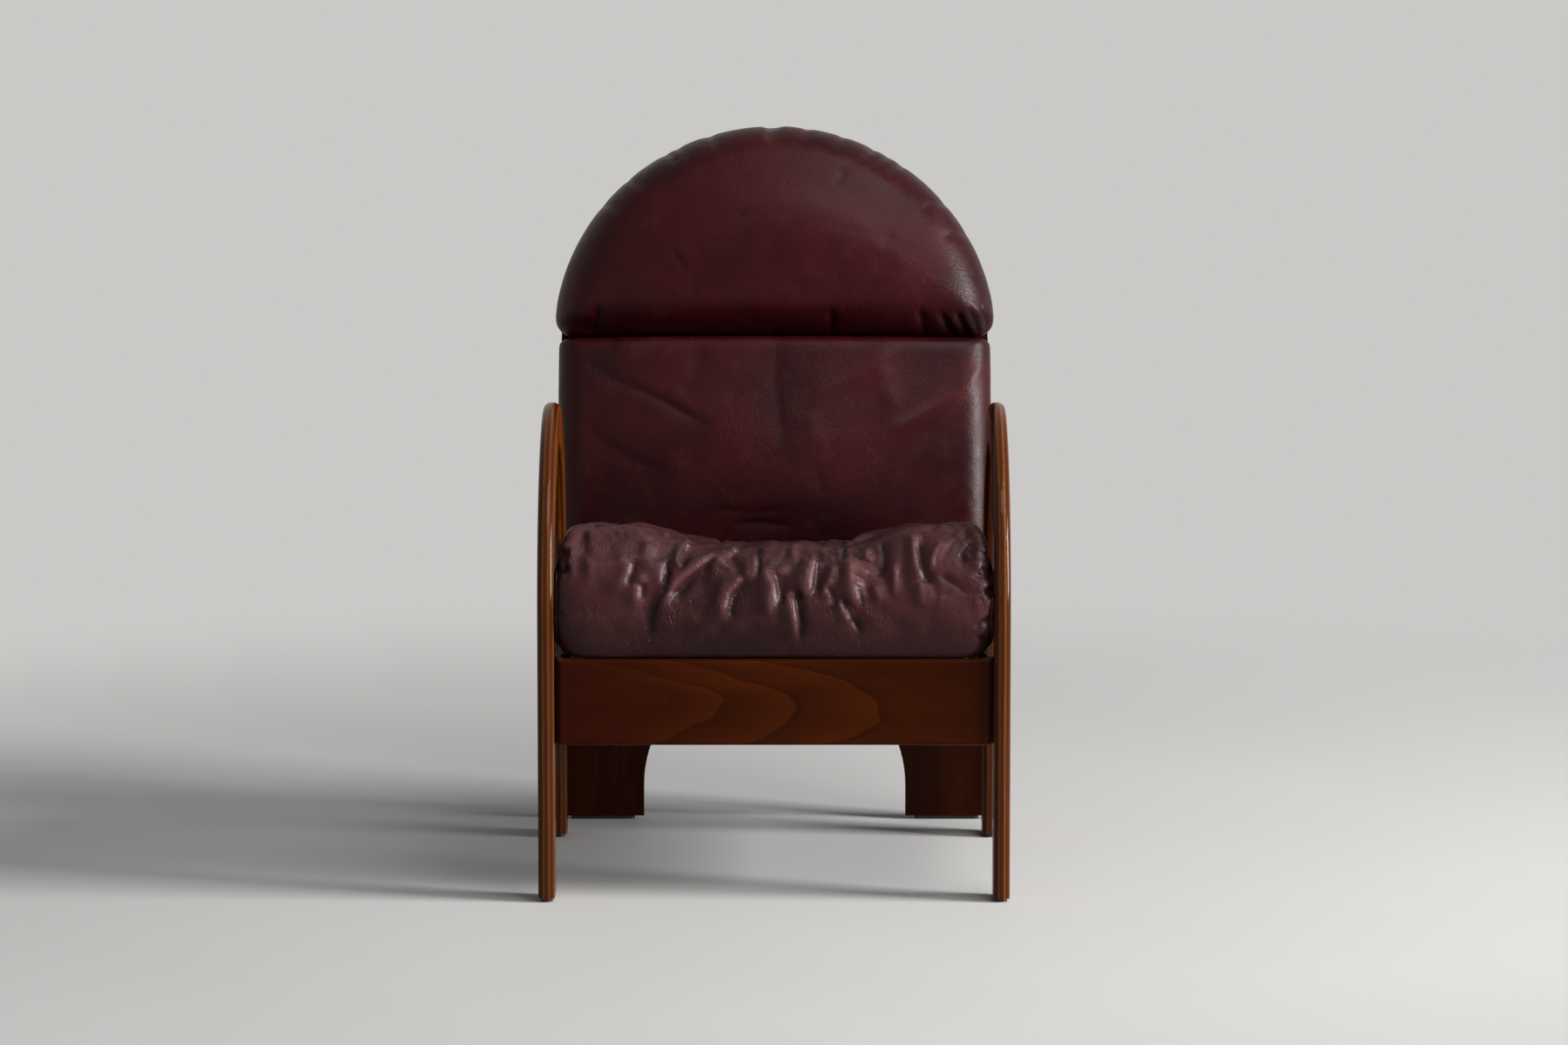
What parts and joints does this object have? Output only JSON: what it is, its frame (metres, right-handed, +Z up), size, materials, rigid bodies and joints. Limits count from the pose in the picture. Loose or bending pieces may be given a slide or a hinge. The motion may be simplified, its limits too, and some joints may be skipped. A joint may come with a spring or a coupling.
{
  "type": "easy chair",
  "caption": "Easy chair with two bent wood arches as arms and legs, a bent plywood back standing on the floor and loose leather cushions.",
  "frame": {"origin": "on the floor, at the middle of the chair's footprint", "axes": "+Z up, +X to the chair's right as seen by someone facing its front, the front of the chair faces -Y"},
  "size_m": [0.62, 0.8164, 0.9679],
  "materials": {
    "arch_wood": "laminated beech, walnut stain, satin lacquer",
    "rail_wood": "walnut veneer, satin lacquer",
    "shell_wood": "bent plywood, walnut veneer, satin lacquer",
    "beech": "raw beech",
    "plywood": "raw birch plywood",
    "zinc_steel": "zinc plated",
    "brass": "plain",
    "webbing": "rubber bonded fabric webbing",
    "glide": "hard black plastic",
    "nylon": "plain nylon",
    "seat_leather": "creased oxblood aniline leather, semi gloss",
    "back_leather": "oxblood aniline leather, semi gloss"
  },
  "bodies": {
    "root": {"side_arch_left": "arch_wood", "side_arch_right": "arch_wood", "front_rail": "rail_wood", "rear_rail": "rail_wood", "side_rail_left": "rail_wood", "side_rail_right": "rail_wood", "corner_blocks": "beech", "block_screws": "zinc_steel", "rail_dowels": "beech", "arch_bolts": "zinc_steel", "arch_inserts": "brass", "back_shell": "shell_wood", "shell_bolts": "zinc_steel", "shell_inserts": "brass", "seat_strap_1": "webbing", "seat_strap_2": "webbing", "seat_strap_3": "webbing", "seat_strap_4": "webbing", "seat_strap_5": "webbing", "seat_strap_6": "webbing", "strap_clips": "zinc_steel", "glide_front_left": "glide", "glide_front_right": "glide", "glide_rear_left": "glide", "glide_rear_right": "glide", "foot_glide_left": "glide", "foot_glide_right": "glide", "back_pad_board": "plywood", "head_board": "plywood", "pad_studs": "nylon", "back_pad": "back_leather", "head_cushion": "back_leather", "seat_cushion": "seat_leather"}
  },
  "joints": []
}
